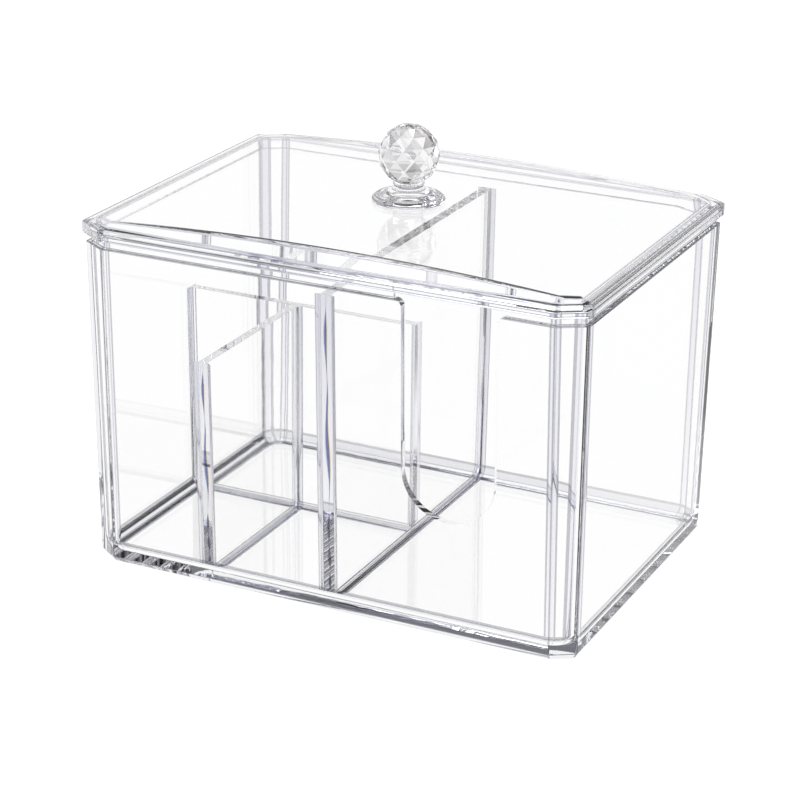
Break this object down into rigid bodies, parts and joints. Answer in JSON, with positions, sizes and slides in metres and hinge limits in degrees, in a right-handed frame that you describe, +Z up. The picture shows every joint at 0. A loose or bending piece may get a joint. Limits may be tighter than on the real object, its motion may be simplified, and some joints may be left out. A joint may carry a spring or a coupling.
{
  "type": "lidded storage box with compartments",
  "caption": "Clear lidded box for cotton pads and swabs with compartments, a U-shaped finger slot and a crowned lid with a faceted ball knob.",
  "frame": {"origin": "centre of the underside", "axes": "+X along the long side to the right, -Y the front with the finger slot, +Z up"},
  "size_m": [0.145, 0.105, 0.1212],
  "materials": {
    "clear_tray": "clear, glossy",
    "clear_panel": "clear, glossy",
    "clear_lid": "clear, glossy",
    "clear_knob": "clear, glossy",
    "crystal": "clear, faceted"
  },
  "bodies": {
    "box": {"tray": "clear_tray", "main_divider": "clear_panel", "cross_divider": "clear_panel", "short_divider": "clear_panel"},
    "lid": {"lid": "clear_lid", "knob_foot": "clear_knob", "knob_ball": "crystal"}
  },
  "joints": [
    {"name": "lid_lift", "type": "slide", "parent": "box", "child": "lid", "axis": [0, 0, 1], "range_m": [0, 0.05]}
  ]
}
